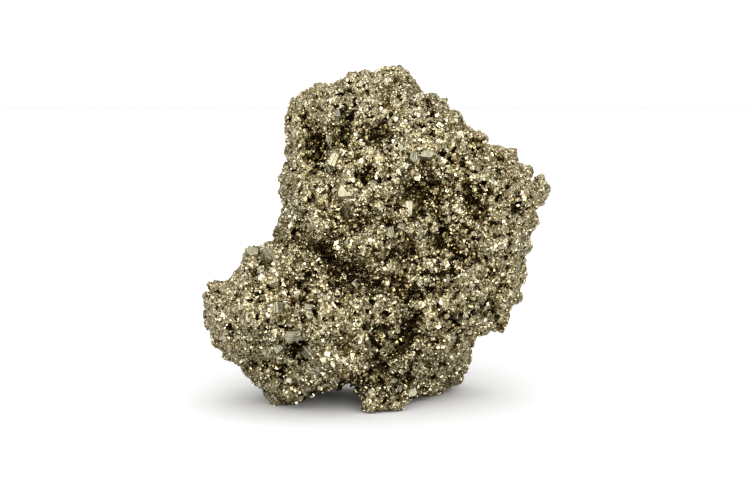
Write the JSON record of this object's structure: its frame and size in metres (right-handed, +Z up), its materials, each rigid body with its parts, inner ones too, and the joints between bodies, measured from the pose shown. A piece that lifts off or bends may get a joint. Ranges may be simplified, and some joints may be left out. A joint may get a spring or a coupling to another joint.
{
  "type": "pyrite specimen",
  "caption": "Natural lump of intergrown pyrite crystals, a broad block with a lobe at its lower left, standing on flat spots under its own feet",
  "frame": {"origin": "bottom centre of the bounding box, in the plane of the flat spots under the feet", "axes": "+X to the right as seen from the front, +Y away from the viewer, +Z up"},
  "size_m": [0.0706, 0.0486, 0.0678],
  "materials": {
    "pyrite": "natural metallic pyrite: pale brassy crystal faces that glint, with brown tarnish in the hollows"
  },
  "bodies": {
    "root": {"pyrite_specimen": "pyrite"}
  },
  "joints": []
}
